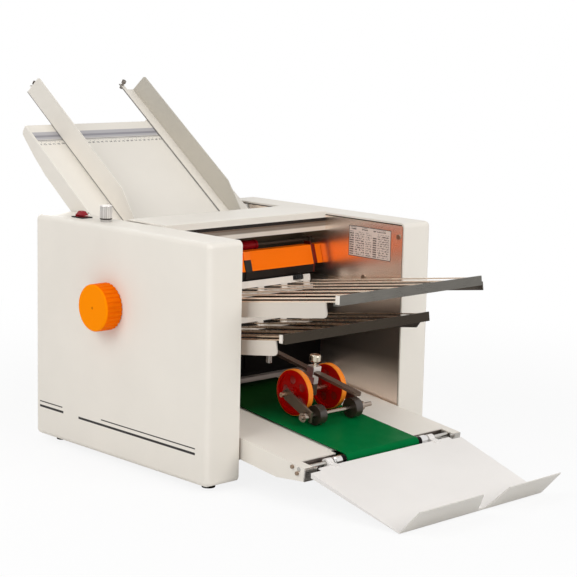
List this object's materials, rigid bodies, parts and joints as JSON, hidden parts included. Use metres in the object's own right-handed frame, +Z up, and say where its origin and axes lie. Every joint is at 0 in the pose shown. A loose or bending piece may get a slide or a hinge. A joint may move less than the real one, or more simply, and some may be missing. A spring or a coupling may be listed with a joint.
{
  "type": "paper folding machine",
  "caption": "Desk-top paper folding machine with sloping feed table, two fold plates, geared rollers and a belt delivery with a catch tray.",
  "frame": {"origin": "centre of the overall box at the level of the table top that the machine stands on", "axes": "+X to the machine's right as seen from the delivery side, +Y from the delivery side to the feed table, +Z up"},
  "size_m": [0.553, 1.073, 0.6319],
  "materials": {
    "casing_white": "satin",
    "inner_steel": "satin",
    "steel": "brushed",
    "chrome": "polished",
    "dark_metal": "matte",
    "dark_steel": "satin",
    "guard_orange": "satin",
    "orange_plastic": "gloss",
    "wheel_red": "gloss",
    "belt_green": "satin",
    "roller_rubber": "matte",
    "black_rubber": "matte",
    "white_plastic": "satin",
    "black_plastic": "satin",
    "silver_plastic": "gloss",
    "rocker_red": "gloss",
    "bronze": "satin"
  },
  "bodies": {
    "machine": {"left_housing": "casing_white", "right_housing": "casing_white", "left_frame_plate": "inner_steel", "right_frame_plate": "inner_steel", "shaft_bushes": "bronze", "rubber_feet": "black_rubber", "base_cover": "casing_white", "power_inlet": "black_plastic", "top_cover": "casing_white", "front_rail": "steel", "roller_guard": "guard_orange", "guard_bracket": "dark_metal", "feed_table": "casing_white", "guide_rail": "steel", "separator_pad": "black_rubber", "sheet_deflectors": "dark_steel", "timing_belts": "black_rubber", "drive_motor": "dark_metal", "upper_comb_strips": "steel", "upper_comb_frame": "casing_white", "lower_comb_strips": "steel", "lower_comb_frame": "casing_white", "comb_bars": "steel", "panel_bezels": "black_plastic", "delivery_deck": "casing_white", "deck_front_rod": "steel", "delivery_belt": "belt_green", "exit_panel": "dark_metal", "fasteners": "steel", "carriage_rod": "dark_steel"},
    "drive": {"drive_roller": "roller_rubber", "hand_knob": "orange_plastic"},
    "roller_1": {"fold_roller_1": "roller_rubber"},
    "roller_3": {"fold_roller_3": "roller_rubber"},
    "roller_4": {"fold_roller_4": "roller_rubber"},
    "roller_5": {"fold_roller_5": "roller_rubber"},
    "idler": {"feed_idler": "black_plastic"},
    "feed": {"feed_roller": "roller_rubber"},
    "belt_front": {"belt_front_roller": "chrome"},
    "belt_rear": {"belt_drive_roller": "black_rubber"},
    "rotor": {"motor_rotor": "steel"},
    "guide_left": {"left_guide": "casing_white", "left_guide_screw": "steel"},
    "guide_right": {"right_guide": "casing_white", "right_guide_screw": "steel"},
    "stop_upper": {"upper_stop": "white_plastic"},
    "stop_upper_knob": {"upper_stop_knob": "black_plastic"},
    "stop_lower": {"lower_stop": "white_plastic"},
    "stop_lower_knob": {"lower_stop_knob": "black_plastic"},
    "speed": {"speed_knob": "silver_plastic"},
    "rocker": {"power_rocker": "rocker_red"},
    "tray": {"catch_tray": "casing_white"},
    "carriage": {"carriage_frame": "dark_steel", "carriage_axle": "steel"},
    "carriage_knob": {"clamp_knob": "chrome"},
    "wheel_left": {"left_wheel": "wheel_red"},
    "wheel_right": {"right_wheel": "wheel_red"},
    "press": {"press_shaft": "steel", "press_rollers": "black_rubber"},
    "bar_thumb": {"bar_screw": "steel"}
  },
  "joints": [
    {"name": "drive_spin", "type": "hinge", "parent": "machine", "child": "drive", "pos_m": [0.0165, 0.09639, 0.26999], "axis": [1, 0, 0], "continuous": true},
    {"name": "roller_1_spin", "type": "hinge", "parent": "machine", "child": "roller_1", "pos_m": [0.0165, 0.09188, 0.30207], "axis": [1, 0, 0], "continuous": true},
    {"name": "roller_3_spin", "type": "hinge", "parent": "machine", "child": "roller_3", "pos_m": [0.0165, 0.08879, 0.23849], "axis": [1, 0, 0], "continuous": true},
    {"name": "roller_4_spin", "type": "hinge", "parent": "machine", "child": "roller_4", "pos_m": [0.0165, 0.0933, 0.20641], "axis": [1, 0, 0], "continuous": true},
    {"name": "roller_5_spin", "type": "hinge", "parent": "machine", "child": "roller_5", "pos_m": [0.0165, 0.0857, 0.17491], "axis": [1, 0, 0], "continuous": true},
    {"name": "idler_spin", "type": "hinge", "parent": "machine", "child": "idler", "pos_m": [0.0165, 0.11614, 0.33782], "axis": [1, 0, 0], "continuous": true},
    {"name": "feed_spin", "type": "hinge", "parent": "machine", "child": "feed", "pos_m": [0.0165, 0.15643, 0.36958], "axis": [1, 0, 0], "continuous": true},
    {"name": "belt_rear_spin", "type": "hinge", "parent": "machine", "child": "belt_rear", "pos_m": [0.0165, 0.12186, 0.10949], "axis": [1, 0, 0], "continuous": true},
    {"name": "belt_front_spin", "type": "hinge", "parent": "machine", "child": "belt_front", "pos_m": [0.0165, -0.29501, 0.05831], "axis": [1, 0, 0], "continuous": true},
    {"name": "rotor_spin", "type": "hinge", "parent": "machine", "child": "rotor", "pos_m": [0.0165, 0.22239, 0.092], "axis": [1, 0, 0], "continuous": true},
    {"name": "guide_left_slide", "type": "slide", "parent": "machine", "child": "guide_left", "axis": [1, 0, 0], "range_m": [-0.045, 0.045]},
    {"name": "guide_right_slide", "type": "slide", "parent": "machine", "child": "guide_right", "axis": [1, 0, 0], "range_m": [-0.045, 0.045]},
    {"name": "stop_upper_slide", "type": "slide", "parent": "machine", "child": "stop_upper", "axis": [0, -0.9903, 0.1392], "range_m": [0, 0.36]},
    {"name": "stop_upper_knob_turn", "type": "hinge", "parent": "stop_upper", "child": "stop_upper_knob", "pos_m": [0.1355, 0.03051, 0.28016], "axis": [0, 0.1392, 0.9903], "range_deg": [-180, 180]},
    {"name": "stop_lower_slide", "type": "slide", "parent": "machine", "child": "stop_lower", "axis": [0, -0.9903, 0.1392], "range_m": [0, 0.245]},
    {"name": "stop_lower_knob_turn", "type": "hinge", "parent": "stop_lower", "child": "stop_lower_knob", "pos_m": [0.1355, 0.03051, 0.21866], "axis": [0, 0.1392, 0.9903], "range_deg": [-180, 180]},
    {"name": "speed_turn", "type": "hinge", "parent": "machine", "child": "speed", "pos_m": [-0.2085, 0.14839, 0.405], "axis": [0, 0, 1], "range_deg": [0, 270]},
    {"name": "rocker_tilt", "type": "hinge", "parent": "machine", "child": "rocker", "pos_m": [-0.2085, 0.21639, 0.403], "axis": [1, 0, 0], "range_deg": [-12, 0]},
    {"name": "tray_fold", "type": "hinge", "parent": "machine", "child": "tray", "pos_m": [0.0165, -0.29501, 0.05831], "axis": [-1, 0, 0], "range_deg": [0, 55]},
    {"name": "carriage_slide", "type": "slide", "parent": "machine", "child": "carriage", "axis": [0, 0.9829, 0.184], "range_m": [0, 0.075]},
    {"name": "carriage_knob_turn", "type": "hinge", "parent": "carriage", "child": "carriage_knob", "pos_m": [0.0235, -0.12959, 0.16345], "axis": [0, -0.1219, 0.9925], "range_deg": [-180, 180]},
    {"name": "wheel_left_spin", "type": "hinge", "parent": "carriage", "child": "wheel_left", "pos_m": [0.0235, -0.12543, 0.1296], "axis": [1, 0, 0], "continuous": true},
    {"name": "wheel_right_spin", "type": "hinge", "parent": "carriage", "child": "wheel_right", "pos_m": [0.0235, -0.12543, 0.1296], "axis": [1, 0, 0], "continuous": true},
    {"name": "press_spin", "type": "hinge", "parent": "carriage", "child": "press", "pos_m": [0.0235, -0.17722, 0.10007], "axis": [1, 0, 0], "continuous": true},
    {"name": "bar_thumb_turn", "type": "hinge", "parent": "machine", "child": "bar_thumb", "pos_m": [0.0235, -0.01761, 0.18055], "axis": [0, 0, 1], "range_deg": [-180, 180]}
  ],
  "couplings": [
    {"joint": "roller_1_spin", "follows": "drive_spin", "ratio": -1},
    {"joint": "roller_3_spin", "follows": "drive_spin", "ratio": -1},
    {"joint": "roller_4_spin", "follows": "drive_spin", "ratio": 1},
    {"joint": "roller_5_spin", "follows": "drive_spin", "ratio": -1},
    {"joint": "idler_spin", "follows": "drive_spin", "ratio": 0.6},
    {"joint": "feed_spin", "follows": "drive_spin", "ratio": -0.66667},
    {"joint": "belt_rear_spin", "follows": "drive_spin", "ratio": 0.6875},
    {"joint": "belt_front_spin", "follows": "drive_spin", "ratio": 0.6875},
    {"joint": "rotor_spin", "follows": "drive_spin", "ratio": 3}
  ]
}
